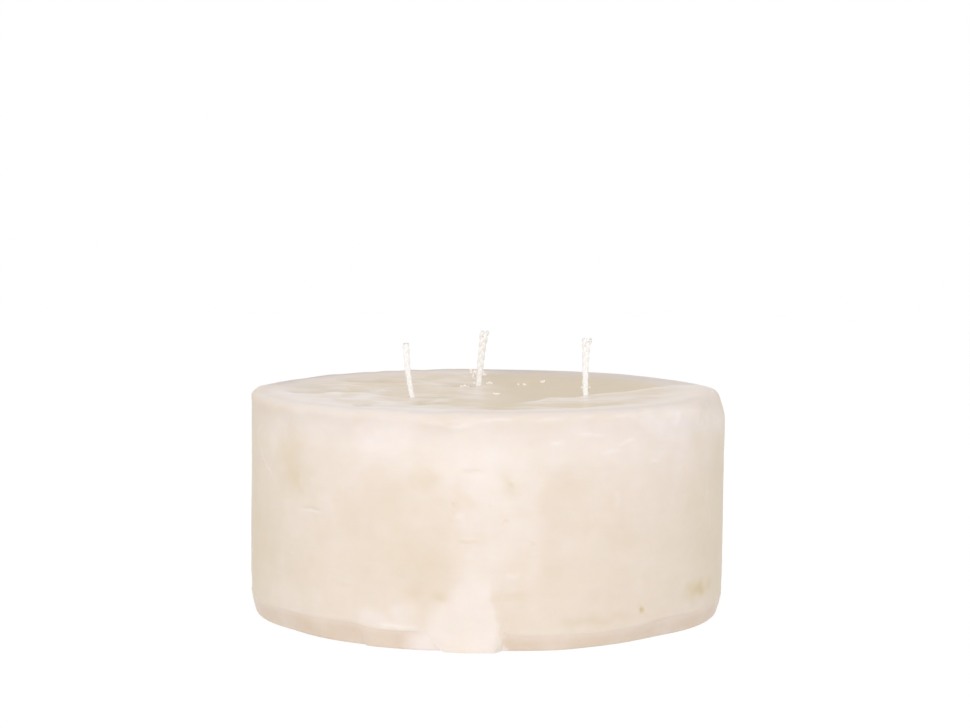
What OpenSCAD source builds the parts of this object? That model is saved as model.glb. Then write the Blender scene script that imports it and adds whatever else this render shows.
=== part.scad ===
// Three-wick pillar candle.
// A cast wax pillar stands on a base layer, the second pour that levels a cast candle.
// Three plaited cotton wicks run down through both, and each is crimped into a metal sustainer
// that is let into the underside of the base layer.
// The origin is the middle of the base, +Z is up and the front faces -Y. Sizes are in millimetres.

/* [Pillar] */
// Diameter of the wax pillar
pillar_d = 150; // [100:1:220]
// Height of the wax, from the base to the rim
pillar_h = 70; // [40:1:140]
// Radius of the rounded upper rim
rim_r = 3.5; // [1:0.1:6]
// Width of the level land between the rim and the dished top
land_w = 5; // [2:0.5:12]
// How far the top sinks in the middle, where the wax shrank as it set
dish_depth = 1.8; // [0.4:0.1:4]
// Radius of the pillar's rounded lower edge, above the base layer
lower_edge_r = 0.4; // [0.2:0.1:1.5]

/* [Rim slump] */
// Direction of the slumped part of the rim, in degrees from the front towards the right
slump_turn = 78; // [0:1:359]
// How far the slump takes the top of the rim inwards
slump_w = 4.2; // [0.5:0.1:6]
// How far down the wall the slump reaches
slump_h = 8; // [2:0.1:15]

/* [Base layer] */
// Height of the base layer at the wall
base_h = 6; // [4:0.1:12]
// Step in from the pillar's wall to the top of the base layer
base_step = 0.4; // [0.3:0.1:2]
// How much further the base layer tapers in towards its foot
base_taper = 1.4; // [0:0.1:3]
// Bevel round the foot of the base layer
foot_bevel = 0.6; // [0.2:0.1:2]
// Depth of the shrink hollow in the pillar that the base layer fills
sink_depth = 5; // [1:0.5:12]
// Width of the level seat round the shrink hollow
seat_w = 12; // [4:1:25]

/* [Wax run] */
// Direction of the wax run over the base layer, in degrees from the front towards the right
run_turn = -3; // [-180:1:180]
// Width of the wax run at its foot
run_w = 16.5; // [6:0.5:50]
// Height above the base at which the run ends
run_lift = 0.3; // [0.1:0.1:2]
// How much further the run reaches to its left where it leaves the wall
run_spread = 6; // [0:0.5:12]
// Radius of the run's rounded lower corners
run_corner_r = 2; // [0.5:0.1:2.5]
// How far the run's face lies inside the pillar's wall
run_inset = 0.05; // [0.05:0.05:0.2]

/* [Wicks] */
// Diameter of the circle on which the wicks stand
wick_circle_d = 63; // [36:1:80]
// Turn of the wick circle, in degrees from the back towards the left
wick_turn = 8; // [-180:1:180]
// How far the wick circle's middle lies to the right of the pillar's axis
wick_shift = 1.6; // [-4:0.1:4]
// Diameter of one of the three strands of a wick's plait
strand_d = 0.76; // [0.5:0.02:1.2]
// Length in which a strand crosses the plait and comes back, in strand diameters
plait_lay = 11; // [10:1:16]

/* [Left wick] */
// Height of the left wick above the wax
left_stand = 17; // [5:0.5:30]
// Sideways bend of the left wick at half its height
left_bend = -1.6; // [-4:0.1:4]
// Sideways bend of the left wick at its tip
left_tip = -2; // [-4:0.1:4]
// How far the left wick leans to the back at its tip
left_lean = 0.6; // [-3:0.1:3]
// How far the strands spread at the left wick's cut end
left_splay = 0.1; // [0:0.05:1.5]

/* [Middle wick] */
// Height of the middle wick above the wax
middle_stand = 17.5; // [5:0.5:30]
// Sideways bend of the middle wick at half its height
middle_bend = 0.4; // [-4:0.1:4]
// Sideways bend of the middle wick at its tip
middle_tip = 1.7; // [-4:0.1:4]
// How far the middle wick leans to the back at its tip
middle_lean = -0.8; // [-3:0.1:3]
// How far the strands spread at the middle wick's cut end
middle_splay = 0.2; // [0:0.05:1.5]

/* [Right wick] */
// Height of the right wick above the wax
right_stand = 18; // [5:0.5:30]
// Sideways bend of the right wick at half its height
right_bend = -0.3; // [-4:0.1:4]
// Sideways bend of the right wick at its tip
right_tip = 0; // [-4:0.1:4]
// How far the right wick leans to the back at its tip
right_lean = 0.5; // [-3:0.1:3]
// How far the strands spread at the right wick's cut end
right_splay = 0.7; // [0:0.05:1.5]

/* [Sustainers] */
// Diameter of a sustainer's tab
tab_d = 20; // [12:0.5:28]
// Thickness of a sustainer's sheet metal
sheet_t = 0.3; // [0.2:0.05:0.6]
// Height of a sustainer's neck, from the underside of its tab
neck_h = 6.5; // [4:0.5:13]
// Radius of the flare between the tab and the neck
flare_r = 1; // [0.4:0.1:2]
// How far the tab is let into the underside of the base
tab_recess = 0.4; // [0.2:0.1:1]
// Gap that the cast wax leaves round the metal and the wicks
cast_gap = 0.05; // [0.02:0.01:0.2]

/* [Hidden] */

LEFT = 0;
MIDDLE = 1;
RIGHT = 2;
strand_count = 3;
wick_spacing = 120;

// Fineness of the curves
arc_steps = 8;
strand_sides = 8;
rings_per_lay = 12;
round_fn = 128;
wick_fn = 32;
// How far a cutting solid reaches past the face that it cuts
overcut = 1;

wax_colour = [0.93, 0.88, 0.81];
base_colour = [0.90, 0.83, 0.74];
cotton_colour = [0.97, 0.96, 0.93];
metal_colour = [0.75, 0.76, 0.77];

pillar_r = pillar_d / 2;
dish_r = pillar_r - rim_r - land_w;
base_top_r = pillar_r - base_step;
base_foot_r = base_top_r - base_taper;
sink_r = base_top_r - seat_w;

// Travel of a strand to each side and through the plait, in strand diameters, which keeps strands apart
across_share = 1.04;
through_share = 0.7;
// Room between the plait and its stem's wall, in strand diameters
ease_share = 0.07;
plait_across = across_share * strand_d;
plait_through = through_share * strand_d;
plait_ease = ease_share * strand_d;
plait_pitch = plait_lay * strand_d;
wick_r = plait_across + strand_d / 2 + plait_ease;
// The round stem ends this far under the wax, and the plait is rooted this deep in the stem
stem_drop = strand_d;
plait_root = strand_d / 2;

tab_r = tab_d / 2;
tab_top = tab_recess + sheet_t;
neck_r = wick_r + sheet_t;
neck_top = tab_recess + neck_h;
flare_centre = [neck_r + flare_r, tab_top + flare_r];

wick_stand = [left_stand, middle_stand, right_stand];
wick_bend = [left_bend, middle_bend, right_bend];
wick_tip = [left_tip, middle_tip, right_tip];
wick_lean = [left_lean, middle_lean, right_lean];
wick_splay = [left_splay, middle_splay, right_splay];
// Power that keeps a wick's spread to its last few millimetres
splay_power = 8;

function unit(v) = v / norm(v);
function reversed(points) = [for (k = [len(points) - 1 : -1 : 0]) points[k]];

// Points of an arc about a centre, from one angle to another
function arc(centre, r, from, to) = [
    for (k = [0 : arc_steps])
        let (a = from + (to - from) * k / arc_steps)
            centre + r * [cos(a), sin(a)]
];

// Points of a shallow bowl or dome, from its edge to the axis
function bowl(edge_r, edge_z, rise) = [
    for (k = [0 : arc_steps])
        let (q = 1 - k / arc_steps)
            [edge_r * q, edge_z + rise * (1 - q * q)]
];

// Where a wick stands, seen from above
function wick_place(i) =
    let (a = 90 + wick_turn + wick_spacing * (MIDDLE - i))
        [wick_shift + wick_circle_d / 2 * cos(a), wick_circle_d / 2 * sin(a)];

// Height of the dished top where a wick comes out of it
function wax_top(i) =
    let (q = min(1, norm(wick_place(i)) / dish_r))
        pillar_h - dish_depth * (1 - q * q);

// Middle line of a wick at a height, with its bend, its lean and the curve between them
function wick_line(i, z) =
    let (u = max(0, (z - wax_top(i)) / wick_stand[i]),
         side = (4 * wick_bend[i] - wick_tip[i]) * u + (2 * wick_tip[i] - 4 * wick_bend[i]) * u * u)
        [wick_place(i).x + side, wick_place(i).y + wick_lean[i] * u * u, z];

// Middle line of one strand, which weaves from side to side as it rises
function strand_line(i, strand, z) =
    let (a = 360 * (z / plait_pitch + strand / strand_count),
         u = max(0, (z - wax_top(i)) / wick_stand[i]),
         spread = wick_splay[i] * pow(u, splay_power))
        wick_line(i, z) + [(plait_across + spread) * sin(a), (plait_through + spread / 2) * sin(2 * a), 0];

// One ring of points round a strand, square to its line
function strand_ring(i, strand, z) =
    let (step = strand_d / 50,
         along = unit(strand_line(i, strand, z + step) - strand_line(i, strand, z - step)),
         side = unit(cross([0, 1, 0], along)),
         back = cross(along, side))
        [for (j = [0 : strand_sides - 1])
            let (b = 360 * j / strand_sides)
                strand_line(i, strand, z) + strand_d / 2 * (cos(b) * side + sin(b) * back)];

// A tube through rings of points, with triangles round its wall and over both ends
module tube(rings) {
    sides = len(rings[0]);
    last = (len(rings) - 1) * sides;
    wall = [
        for (m = [0 : len(rings) - 2], j = [0 : sides - 1])
            let (low = m * sides, high = low + sides, next = (j + 1) % sides)
                each [[low + j, high + j, high + next], [low + j, high + next, low + next]]
    ];
    ends = [for (j = [1 : sides - 2]) each [[0, j, j + 1], [last, last + j + 1, last + j]]];
    polyhedron(points = [for (ring = rings) each ring], faces = concat(wall, ends));
}

// Outline of the base layer: bevelled foot, tapered wall, level seat and the dome in the shrink hollow
module base_outline() {
    polygon(concat(
        [[0, 0], [base_foot_r - foot_bevel, 0]],
        [[base_foot_r, foot_bevel], [base_top_r, base_h]],
        bowl(sink_r, base_h, sink_depth)
    ));
}

// Outline of the pillar: hollow underside, rounded lower edge, straight wall, rounded rim, land and dish
module pillar_outline() {
    polygon(concat(
        reversed(bowl(sink_r, base_h, sink_depth)),
        arc([pillar_r - lower_edge_r, base_h + lower_edge_r], lower_edge_r, -90, 0),
        arc([pillar_r - rim_r, pillar_h - rim_r], rim_r, 0, 90),
        bowl(dish_r, pillar_h, -dish_depth)
    ));
}

// The space that a wick and its sustainer take up in the wax
module wick_space(i) {
    translate(wick_place(i)) {
        translate([0, 0, -overcut])
            cylinder(r = wick_r + cast_gap, h = pillar_h + 2 * overcut, $fn = wick_fn);
        rotate_extrude($fn = round_fn)
            polygon(concat(
                [[0, -overcut], [tab_r + cast_gap, -overcut], [tab_r + cast_gap, tab_top]],
                arc(flare_centre, flare_r - cast_gap, 270, 180),
                [[neck_r + cast_gap, neck_top + cast_gap], [0, neck_top + cast_gap]]
            ));
    }
}

// The slab that takes the slumped part off the rim, along a plane from the top to the wall
module slump() {
    slant = atan2(slump_w, slump_h);
    reach = slump_w + slump_h;
    rotate([0, 0, slump_turn - 90])
        translate([pillar_r, 0, pillar_h - slump_h])
            rotate([0, -slant, 0])
                translate([0, -pillar_r, -reach])
                    cube([reach, pillar_d, 3 * reach]);
}

// Outline of the wax run, seen from the front: spread to its left at the wall, with rounded lower corners
module run_outline() {
    half_w = run_w / 2;
    top = base_h + lower_edge_r;
    polygon(concat(
        arc([run_corner_r - half_w, run_lift + run_corner_r], run_corner_r, 180, 270),
        arc([half_w - run_corner_r, run_lift + run_corner_r], run_corner_r, 270, 360),
        [[half_w, top], [-half_w - run_spread, top]]
    ));
}

// The tongue of wax that ran down over the base layer at the front
module wax_run() {
    rotate([0, 0, run_turn])
        intersection() {
            rotate([90, 0, 0])
                linear_extrude(height = pillar_r) run_outline();
            difference() {
                cylinder(r = pillar_r - run_inset, h = base_h + lower_edge_r, $fn = round_fn);
                rotate_extrude($fn = round_fn) base_outline();
                translate([0, 0, base_h - overcut])
                    cylinder(r = base_top_r - overcut, h = 2 * overcut + lower_edge_r, $fn = round_fn);
            }
        }
}

module wax_body() {
    color(wax_colour)
        difference() {
            union() {
                rotate_extrude($fn = round_fn) pillar_outline();
                wax_run();
            }
            slump();
            for (i = [LEFT : RIGHT]) wick_space(i);
        }
}

module base_layer() {
    color(base_colour)
        difference() {
            rotate_extrude($fn = round_fn) base_outline();
            for (i = [LEFT : RIGHT]) wick_space(i);
        }
}

// A wick: a round stem that the wax and the sustainer grip, and the open plait above it
module wick(i) {
    stem_top = wax_top(i) - stem_drop;
    start = stem_top - plait_root;
    rise = wax_top(i) + wick_stand[i] - start;
    count = ceil(rise / plait_pitch * rings_per_lay);
    color(cotton_colour)
        union() {
            translate([wick_place(i).x, wick_place(i).y, tab_recess])
                cylinder(r = wick_r, h = stem_top - tab_recess, $fn = wick_fn);
            for (strand = [0 : strand_count - 1])
                tube([for (m = [0 : count]) strand_ring(i, strand, start + rise * m / count)]);
        }
}

// A sustainer: a round tab with a neck drawn up from it, both of one sheet
module sustainer(i) {
    color(metal_colour)
        translate(wick_place(i))
            rotate_extrude($fn = round_fn)
                polygon(concat(
                    [[tab_r, tab_recess], [tab_r, tab_top]],
                    arc(flare_centre, flare_r, 270, 180),
                    [[neck_r, neck_top], [wick_r, neck_top]],
                    arc(flare_centre, flare_r + sheet_t, 180, 270)
                ));
}

wax_body();
base_layer();
wick(LEFT);  // wick_left
wick(MIDDLE);  // wick_middle
wick(RIGHT);  // wick_right
sustainer(LEFT);  // sustainer_left
sustainer(MIDDLE);  // sustainer_middle
sustainer(RIGHT);  // sustainer_right
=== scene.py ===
"""Three-wick pillar candle: the finished wax, wicks and metal, built around the candle's solid frame.

The script is laid out as an add-on. Sizes are in metres where no comment says millimetres, and angles
called turns run from the front of the candle (-Y) towards its right side (+X).
"""

import math

import bmesh
import bpy
import numpy as np
from bpy.props import FloatProperty, FloatVectorProperty, IntProperty, PointerProperty
from mathutils import Matrix, Vector, noise


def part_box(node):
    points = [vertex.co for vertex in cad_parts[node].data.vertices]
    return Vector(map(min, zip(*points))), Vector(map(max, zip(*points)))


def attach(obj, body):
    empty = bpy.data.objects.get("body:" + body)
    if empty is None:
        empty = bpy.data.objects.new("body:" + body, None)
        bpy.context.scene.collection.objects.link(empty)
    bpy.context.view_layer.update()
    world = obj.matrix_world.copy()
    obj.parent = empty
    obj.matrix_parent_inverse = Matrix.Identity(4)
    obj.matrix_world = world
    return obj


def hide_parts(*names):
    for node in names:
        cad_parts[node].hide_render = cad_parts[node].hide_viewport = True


bl_info = {
    "name": "Three-wick pillar candle",
    "version": (1, 0, 0),
    "blender": (4, 5, 0),
    "location": "View3D > Sidebar > Candle",
    "description": "Builds the wax, wicks and metal of a three-wick pillar candle around its frame",
    "category": "Add Mesh",
}

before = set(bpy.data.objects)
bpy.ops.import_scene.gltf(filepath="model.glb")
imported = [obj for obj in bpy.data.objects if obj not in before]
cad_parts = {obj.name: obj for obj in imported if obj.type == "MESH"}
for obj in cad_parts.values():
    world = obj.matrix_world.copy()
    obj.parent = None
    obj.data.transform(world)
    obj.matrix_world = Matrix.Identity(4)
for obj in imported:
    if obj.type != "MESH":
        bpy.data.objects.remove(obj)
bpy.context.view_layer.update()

MM = 0.001
BODY = "root"
SIDES = ("left", "middle", "right")

# Frost at which the wax is wholly white
FROST_RANGE = 1.3

# Radius of the wall on which the frost of the wax run is laid out
RUN_WALL = 75 * MM

# Clearance round a sustainer's tab in its pocket, and the thickness of its sheet
POCKET_GAP = 0.05 * MM
TAB_SHEET = 0.3 * MM

# How far a wick's yarns start above its lower end, and how far its frayed fibres reach past them
WICK_INSET = 0.2 * MM
WICK_FRAY = 0.7 * MM

# Floor and key light of the stage
FLOOR_RADIUS = 2.5
FLOOR_GAP = 0.05 * MM
KEY_PLACE = (-0.2, -1.6, 0.65)
KEY_AIM = (0, 0, 0.03)
KEY_SIZE = 1.2

pillar_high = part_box("wax_body")[1]
base_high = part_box("base_layer")[1]
tab_low, tab_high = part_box("sustainer_left")


def wick_foot(side):
    """Where a wick leaves its sustainer, seen from above."""
    low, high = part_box("sustainer_" + side)
    return (low + high) / 2


# Marks in the wall, each as turn in degrees, height, length, width and depth in millimetres, and tilt in
# degrees. A mark with a negative depth is a nick, and one with a positive depth is a ridge.
WALL_MARKS = (
    (-44, 38.1, 8.0, 0.5, 0.24, -1),
    (-44, 39.0, 7.5, 0.4, -0.24, -1),
    (-3.5, 52.8, 5.5, 0.4, -0.24, 1),
    (-4.1, 32.2, 5.5, 0.4, -0.24, 0),
    (-4.1, 33.0, 5.0, 0.5, 0.16, 0),
    (15.6, 60.5, 3.6, 0.6, 0.30, 14),
    (24.0, 62.6, 9.0, 0.5, 0.24, -4),
    (32.8, 60.1, 6.5, 0.5, 0.26, 14),
    (29.0, 57.5, 7.5, 0.5, 0.22, 6),
    (41.3, 53.7, 3.6, 0.5, 0.26, 4),
    (30.4, 43.2, 4.8, 1.0, 0.20, 86),
    (5.8, 22.1, 4.0, 0.8, 0.22, 8),
    (-6.6, 39.7, 3.4, 0.8, 0.20, 4),
    (-40, 42.4, 4.6, 0.9, 0.14, 3),
    (-33.6, 17.4, 5.0, 0.5, -0.12, 0),
    (-21, 6.6, 9.0, 0.6, 0.26, 1),
    (-11.5, 66.2, 7.0, 0.6, 0.24, -6),
    (-6.0, 65.4, 6.0, 0.6, 0.26, 8),
    (2.2, 67.8, 8.0, 0.6, 0.28, 4),
    (13.8, 67.5, 8.0, 0.6, 0.26, 3),
    (23.0, 68.2, 5.0, 0.6, 0.24, 2),
    (31.5, 67.8, 4.6, 0.6, 0.24, 3),
    (39.0, 68.6, 7.0, 0.6, 0.24, 6),
    (49, 65.6, 5.0, 1.2, 0.35, 60),
    (57.5, 65, 3.6, 0.6, 0.30, 84),
    (63, 41, 5.0, 0.5, 0.26, 70),
    (65, 33, 7.0, 0.5, 0.22, 84),
    (-70, 56.5, 7.0, 0.5, 0.28, 84),
    (-66.6, 51.4, 5.0, 0.5, 0.34, -46),
    (-62.4, 48.0, 6.5, 0.5, 0.34, -32),
    (118, 44, 6.0, 0.7, 0.28, 4),
    (142, 25, 5.0, 0.6, -0.24, -3),
    (171, 52, 7.0, 0.8, 0.26, 2),
    (-160, 30, 5.0, 0.6, -0.26, 6),
    (-128, 56, 6.0, 0.7, 0.28, -4),
    (-105, 22, 5.0, 0.6, 0.24, 70),
)

# Round pits in the wall, each as turn in degrees, height, radius and depth in millimetres
WALL_PITS = (
    (4.0, 38.4, 0.7, 0.20),
    (0.7, 42.7, 0.6, 0.15),
    (10.2, 31.6, 0.7, 0.18),
    (5.3, 48.8, 0.8, 0.16),
    (-7.5, 43.0, 0.7, 0.16),
    (-7.3, 40.2, 0.8, 0.18),
    (37.7, 9.7, 0.9, 0.40),
    (32, 2.8, 0.6, 0.30),
    (96, 33, 0.8, 0.30),
    (-150, 47, 0.9, 0.35),
    (-92, 37, 0.7, 0.30),
    (155, 14, 0.9, 0.35),
)

# Clearer, warmer wax in the wall, each as turn in degrees, height, half length, half height in
# millimetres and strength
WARM_SPOTS = (
    (-51, 51, 8, 11, 0.36),
    (-50, 47.5, 5, 5, 0.46),
    (-68, 26, 14, 20, 0.18),
    (-46, 22, 14, 12, 0.10),
    (50, 28, 16, 16, 0.14),
    (56, 38.6, 9, 8, 0.24),
    (18.7, 47, 12, 9, 0.12),
    (72, 34, 14, 26, 0.16),
    (-30, 34, 14, 14, 0.10),
    (-13.8, 50.2, 3.5, 4, 0.32),
    (-5, 45, 3, 4, 0.16),
    (-7.5, 41, 2, 4, 0.18),
    (5.3, 48.8, 3, 4, 0.34),
    (-18, 28, 14, 11, 0.19),
    (-19.5, 42, 8, 7, 0.20),
    (-16, 17.2, 5, 2.4, 0.26),
    (-9.4, 16.1, 3, 1.6, 0.34),
    (6.5, 16.5, 6, 2, 0.28),
    (16, 20, 16, 8, 0.10),
    (26, 8.2, 14, 1.6, 0.22),
    (59, 12.4, 7.5, 3.0, 0.85),
    (37.7, 9.7, 1.6, 1.2, 0.6),
    (60, 24, 11, 11, 0.20),
    (34, 32.5, 7, 5, 0.14),
    (104, 40, 10, 10, 0.24),
    (128, 18, 8, 6, 0.26),
    (160, 48, 11, 8, 0.24),
    (-170, 20, 9, 7, 0.26),
    (-140, 42, 10, 10, 0.24),
    (-112, 16, 8, 6, 0.26),
)

# White frost in the wall, in the same form
FROST_PATCHES = (
    (-4, 60, 28, 10, 0.42),
    (-44, 63, 22, 7, 0.42),
    (24, 61, 36, 10, 0.42),
    (-24, 9, 9, 4, 0.35),
    (-50, 10, 18, 5, 0.20),
    (7, 57, 9, 7, 0.25),
    (50, 65, 16, 6, 0.7),
    (72, 65, 14, 6, 0.6),
    (41, 65, 9, 6, 0.75),
    (-24, 62.5, 14, 8, 0.66),
    (110, 60, 24, 9, 0.45),
    (165, 34, 12, 24, 0.4),
    (-150, 61, 24, 9, 0.45),
    (-100, 44, 10, 20, 0.35),
)

# Wrinkles of the top, each as place to the right and back, length, width, depth in millimetres and tilt
TOP_MARKS = (
    (-40, 36, 18, 4.0, -0.48, -7),
    (-40, 26, 20, 4.0, 0.25, -6),
    (-43.5, 3, 16, 4.0, -0.65, 2),
    (-44, -7, 20, 4.0, 0.30, 2),
    (-56, -7, 12, 4.0, -0.55, 14),
    (-57, -16, 13, 4.0, 0.25, 14),
    (-37, -47, 6, 5.0, -0.50, 0),
    (-34, -27, 6, 5.0, 0.45, 10),
    (-33, 4, 3, 3.0, 0.40, 0),
    (-23, 8, 10, 6.0, 0.22, 0),
    (-18, -34, 11, 7.0, -0.60, -20),
    (-17, -12, 12, 3.0, -0.50, 4),
    (-13.5, -23, 5, 4.0, 0.40, -20),
    (-9, 28, 13, 5.0, -0.65, 0),
    (-15, 19, 12, 4.0, 0.30, 0),
    (2.2, 0, 5, 5.0, 0.15, 0),
)

# Bulges and hollows of the foot, each as turn and half width in degrees and height in millimetres
FOOT_BULGES = (
    (16, 7, 1.2),
    (45, 11, -1.7),
    (-54, 9, -1.0),
)

# Crumbs of wax that cling to the middle wick, each as place to the right, back and up in millimetres
HELD_CRUMBS = (
    (-4.3, 30.6, 70.2), (-4.6, 30.6, 71.3), (-5.2, 30.8, 72.2), (-5.4, 30.9, 73.0), (-4.1, 30.5, 72.4),
    (-1.2, 30.6, 72.3), (-1.0, 30.6, 71.5),
)

# Crumbs of wax on the top, each as place to the right and back in millimetres
CRUMB_PLACES = (
    (0.5, 30), (-4, 35), (1, 34), (11, 30), (18.9, 38), (33.2, 19), (3.3, 1), (-7, 28),
)

# How far the wax is drawn up round each wick's foot, or sinks there, in millimetres
WICK_RISES = {"left": 0.25, "middle": -0.15, "right": 0.25}

# Course of each wick over the wax in millimetres: how far it bends sideways half way up, how far its tip
# lies sideways and back, and how far its cut end spreads
WICK_COURSES = {
    "left": (-1.35, -2.0, 0.6, 0.1),
    "middle": (0.75, 1.85, -0.8, 0.35),
    "right": (-0.1, 0.25, 0.5, 0.7),
}

# How thick each wick is plaited, as a share of the sizes that all have in common
WICK_GIRTHS = {"left": 1.0, "middle": 1.28, "right": 1.12}


class CandleSizes(bpy.types.PropertyGroup):
    """Sizes of the cast wax."""

    radius: FloatProperty(
        name="Radius", description="Radius of the pillar's wall", unit="LENGTH", default=pillar_high.x)
    height: FloatProperty(
        name="Height", description="Height of the wax, to the rim", unit="LENGTH", default=pillar_high.z)
    rim: FloatProperty(
        name="Rim", description="Radius of the rounded upper rim", unit="LENGTH", default=3.5 * MM)
    land: FloatProperty(
        name="Land", description="Width of the level land and rim round the dish", unit="LENGTH",
        default=8.5 * MM)
    dish: FloatProperty(
        name="Dish", description="How far the top sinks in the middle", unit="LENGTH", default=1.8 * MM)
    edge: FloatProperty(
        name="Lower edge", description="Height over which the wall curves in to the base layer",
        unit="LENGTH", default=1.6 * MM)
    base_height: FloatProperty(
        name="Base height", description="Height of the base layer inside the foot", unit="LENGTH",
        default=7.2 * MM)
    seam: FloatProperty(
        name="Seam", description="Height of the seam round the foot", unit="LENGTH", default=5.6 * MM)
    base_radius: FloatProperty(
        name="Base radius", description="Radius of the base layer under the wall", unit="LENGTH",
        default=74.85 * MM)
    base_taper: FloatProperty(
        name="Base taper", description="How far the base layer tapers in to its foot", unit="LENGTH",
        default=1.5 * MM)
    foot_bevel: FloatProperty(
        name="Foot bevel", description="Bevel round the foot", unit="LENGTH", default=0.6 * MM)
    seat: FloatProperty(
        name="Seat", description="Width of the seat between the pillar and the base layer", unit="LENGTH",
        default=12 * MM)
    slump_turn: FloatProperty(
        name="Slump turn", description="Direction of the slumped rim", subtype="ANGLE",
        default=math.radians(78))
    slump_width: FloatProperty(
        name="Slump width", description="How far the slump takes the rim in", unit="LENGTH",
        default=5.0 * MM)
    slump_height: FloatProperty(
        name="Slump height", description="How far down the slump reaches", unit="LENGTH", default=8 * MM)
    run_turn: FloatProperty(
        name="Run turn", description="Direction of the wax run", subtype="ANGLE", default=math.radians(-3))
    run_width: FloatProperty(
        name="Run width", description="Width of the wax run at its foot", unit="LENGTH", default=16.5 * MM)
    run_lean: FloatProperty(
        name="Run lean", description="How far the run's left edge leans out upwards", unit="LENGTH",
        default=7 * MM)
    run_lift: FloatProperty(
        name="Run lift", description="Height at which the wax run ends", unit="LENGTH", default=0.05 * MM)
    run_swell: FloatProperty(
        name="Run swell", description="How far the run's foot stands out", unit="LENGTH", default=1.6 * MM)
    rings: IntProperty(
        name="Rings", description="Rings of faces from the middle of the top to the rim", default=72)
    rows: IntProperty(name="Rows", description="Rows of faces down the wall", default=100)


class WaxLook(bpy.types.PropertyGroup):
    """Colours of the wax and of its painted shade."""

    clear: FloatVectorProperty(
        name="Clear wax", description="Colour of the clearer wax", subtype="COLOR",
        default=(0.785, 0.672, 0.555))
    frost: FloatVectorProperty(
        name="Frost", description="Colour of the frosted wax", subtype="COLOR",
        default=(0.954, 0.884, 0.867))
    warm: FloatVectorProperty(
        name="Warm spots", description="Colour of the yellower spots", subtype="COLOR",
        default=(0.69, 0.57, 0.35))
    # Colour of the painted shade in the top's sunken wrinkles, along its rims and on the wall under the rim
    dusk: FloatVectorProperty(
        name="Dusk", description="Colour of the deep streaks and the far rim", subtype="COLOR",
        default=(0.45, 0.39, 0.355))
    base: FloatVectorProperty(
        name="Base layer", description="Colour of the base layer", subtype="COLOR",
        default=(0.735, 0.60, 0.475))


class WickSizes(bpy.types.PropertyGroup):
    """Sizes of the plaited wicks."""

    strand: FloatProperty(
        name="Strand", description="Diameter of a strand of the plait", unit="LENGTH", default=0.98 * MM)
    across: FloatProperty(
        name="Across", description="Travel of a strand to each side", unit="LENGTH", default=0.50 * MM)
    through: FloatProperty(
        name="Through", description="Travel of a strand to front and back", unit="LENGTH", default=0.30 * MM)
    pitch: FloatProperty(
        name="Pitch", description="Length in which a strand crosses and comes back", unit="LENGTH",
        default=8.36 * MM)
    plies: IntProperty(name="Plies", description="Yarns twisted together in a strand", default=8)
    ply_pitch: FloatProperty(
        name="Ply pitch", description="Length of one turn of the yarns in a strand", unit="LENGTH",
        default=6 * MM)
    colour: FloatVectorProperty(
        name="Cotton", description="Colour of the cotton", subtype="COLOR",
        default=(0.985, 0.98, 0.97))


class StageLook(bpy.types.PropertyGroup):
    """Light and camera."""

    lens: FloatProperty(name="Lens", description="Focal length in millimetres", default=87.42)
    distance: FloatProperty(
        name="Distance", description="Camera's distance from the axis", unit="LENGTH", default=0.7463)
    camera_height: FloatProperty(
        name="Camera height", description="Camera's height over the floor", unit="LENGTH", default=0.138)
    pitch: FloatProperty(
        name="Pitch", description="How far the camera looks down", subtype="ANGLE",
        default=math.radians(4.63))
    roll: FloatProperty(
        name="Roll", description="How far the camera is rolled", subtype="ANGLE",
        default=math.radians(0.195))
    offset: FloatProperty(
        name="Offset", description="How far the camera stands to the right", unit="LENGTH",
        default=-0.73 * MM)
    surround: FloatProperty(
        name="Surround", description="Strength of the light from all round", default=0.83)
    backdrop: FloatProperty(
        name="Backdrop", description="Strength of the light from straight behind", default=0.74)
    key: FloatProperty(
        name="Key", description="Power of the large light over the camera", unit="POWER", default=8.6)


def smooth(low, high, value):
    """0 below low and 1 above high, with a smooth rise between them."""
    t = np.clip((value - low) / (high - low), 0, 1)
    return t * t * (3 - 2 * t)


def noise_at(points, size, seed=0.0):
    """Smooth noise from about -1 to 1 at points, with features of a given size or sizes."""
    scaled = points / np.asarray(size) + seed
    return np.array([noise.noise(p) for p in scaled])


def rough_at(points, size, seed=0.0, octaves=4):
    """Noise with detail at several sizes, from about -1 to 1."""
    total = np.zeros(len(points))
    for k in range(octaves):
        total += noise_at(points, np.asarray(size) / 2 ** k, seed + 7.3 * k) / 2 ** k
    return total / 1.6


def wrapped(turns):
    """Angles in degrees brought to between -180 and 180."""
    return (turns + 180) % 360 - 180


def from_axis(points):
    """Distances of points from the candle's axis."""
    return np.hypot(points[:, 0], points[:, 1])


def to_right(points, low, high):
    """Smooth step to the right, from 0 at one place to 1 at another in millimetres."""
    return smooth(low * MM, high * MM, points[:, 0])


def to_back(points, low, high):
    """Smooth step to the back, from 0 at one place to 1 at another in millimetres."""
    return smooth(low * MM, high * MM, points[:, 1])


def on_wall(turns, heights, radius):
    """Points on a wall of a radius, from turns in degrees and heights."""
    a = np.radians(turns)
    return np.stack([radius * np.sin(a), -radius * np.cos(a), heights], axis=1)


def spots_on_wall(turns, heights, radius, spots):
    """The strongest of a list of soft spots at each place on the wall."""
    strongest = np.zeros(len(turns))
    for turn, height, half_length, half_height, strength in spots:
        along = np.radians(wrapped(turns - turn)) * radius / (half_length * MM)
        up = (heights - height * MM) / (half_height * MM)
        strongest = np.maximum(strongest, strength * np.exp(-(along ** 2 + up ** 2)))
    return strongest


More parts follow.
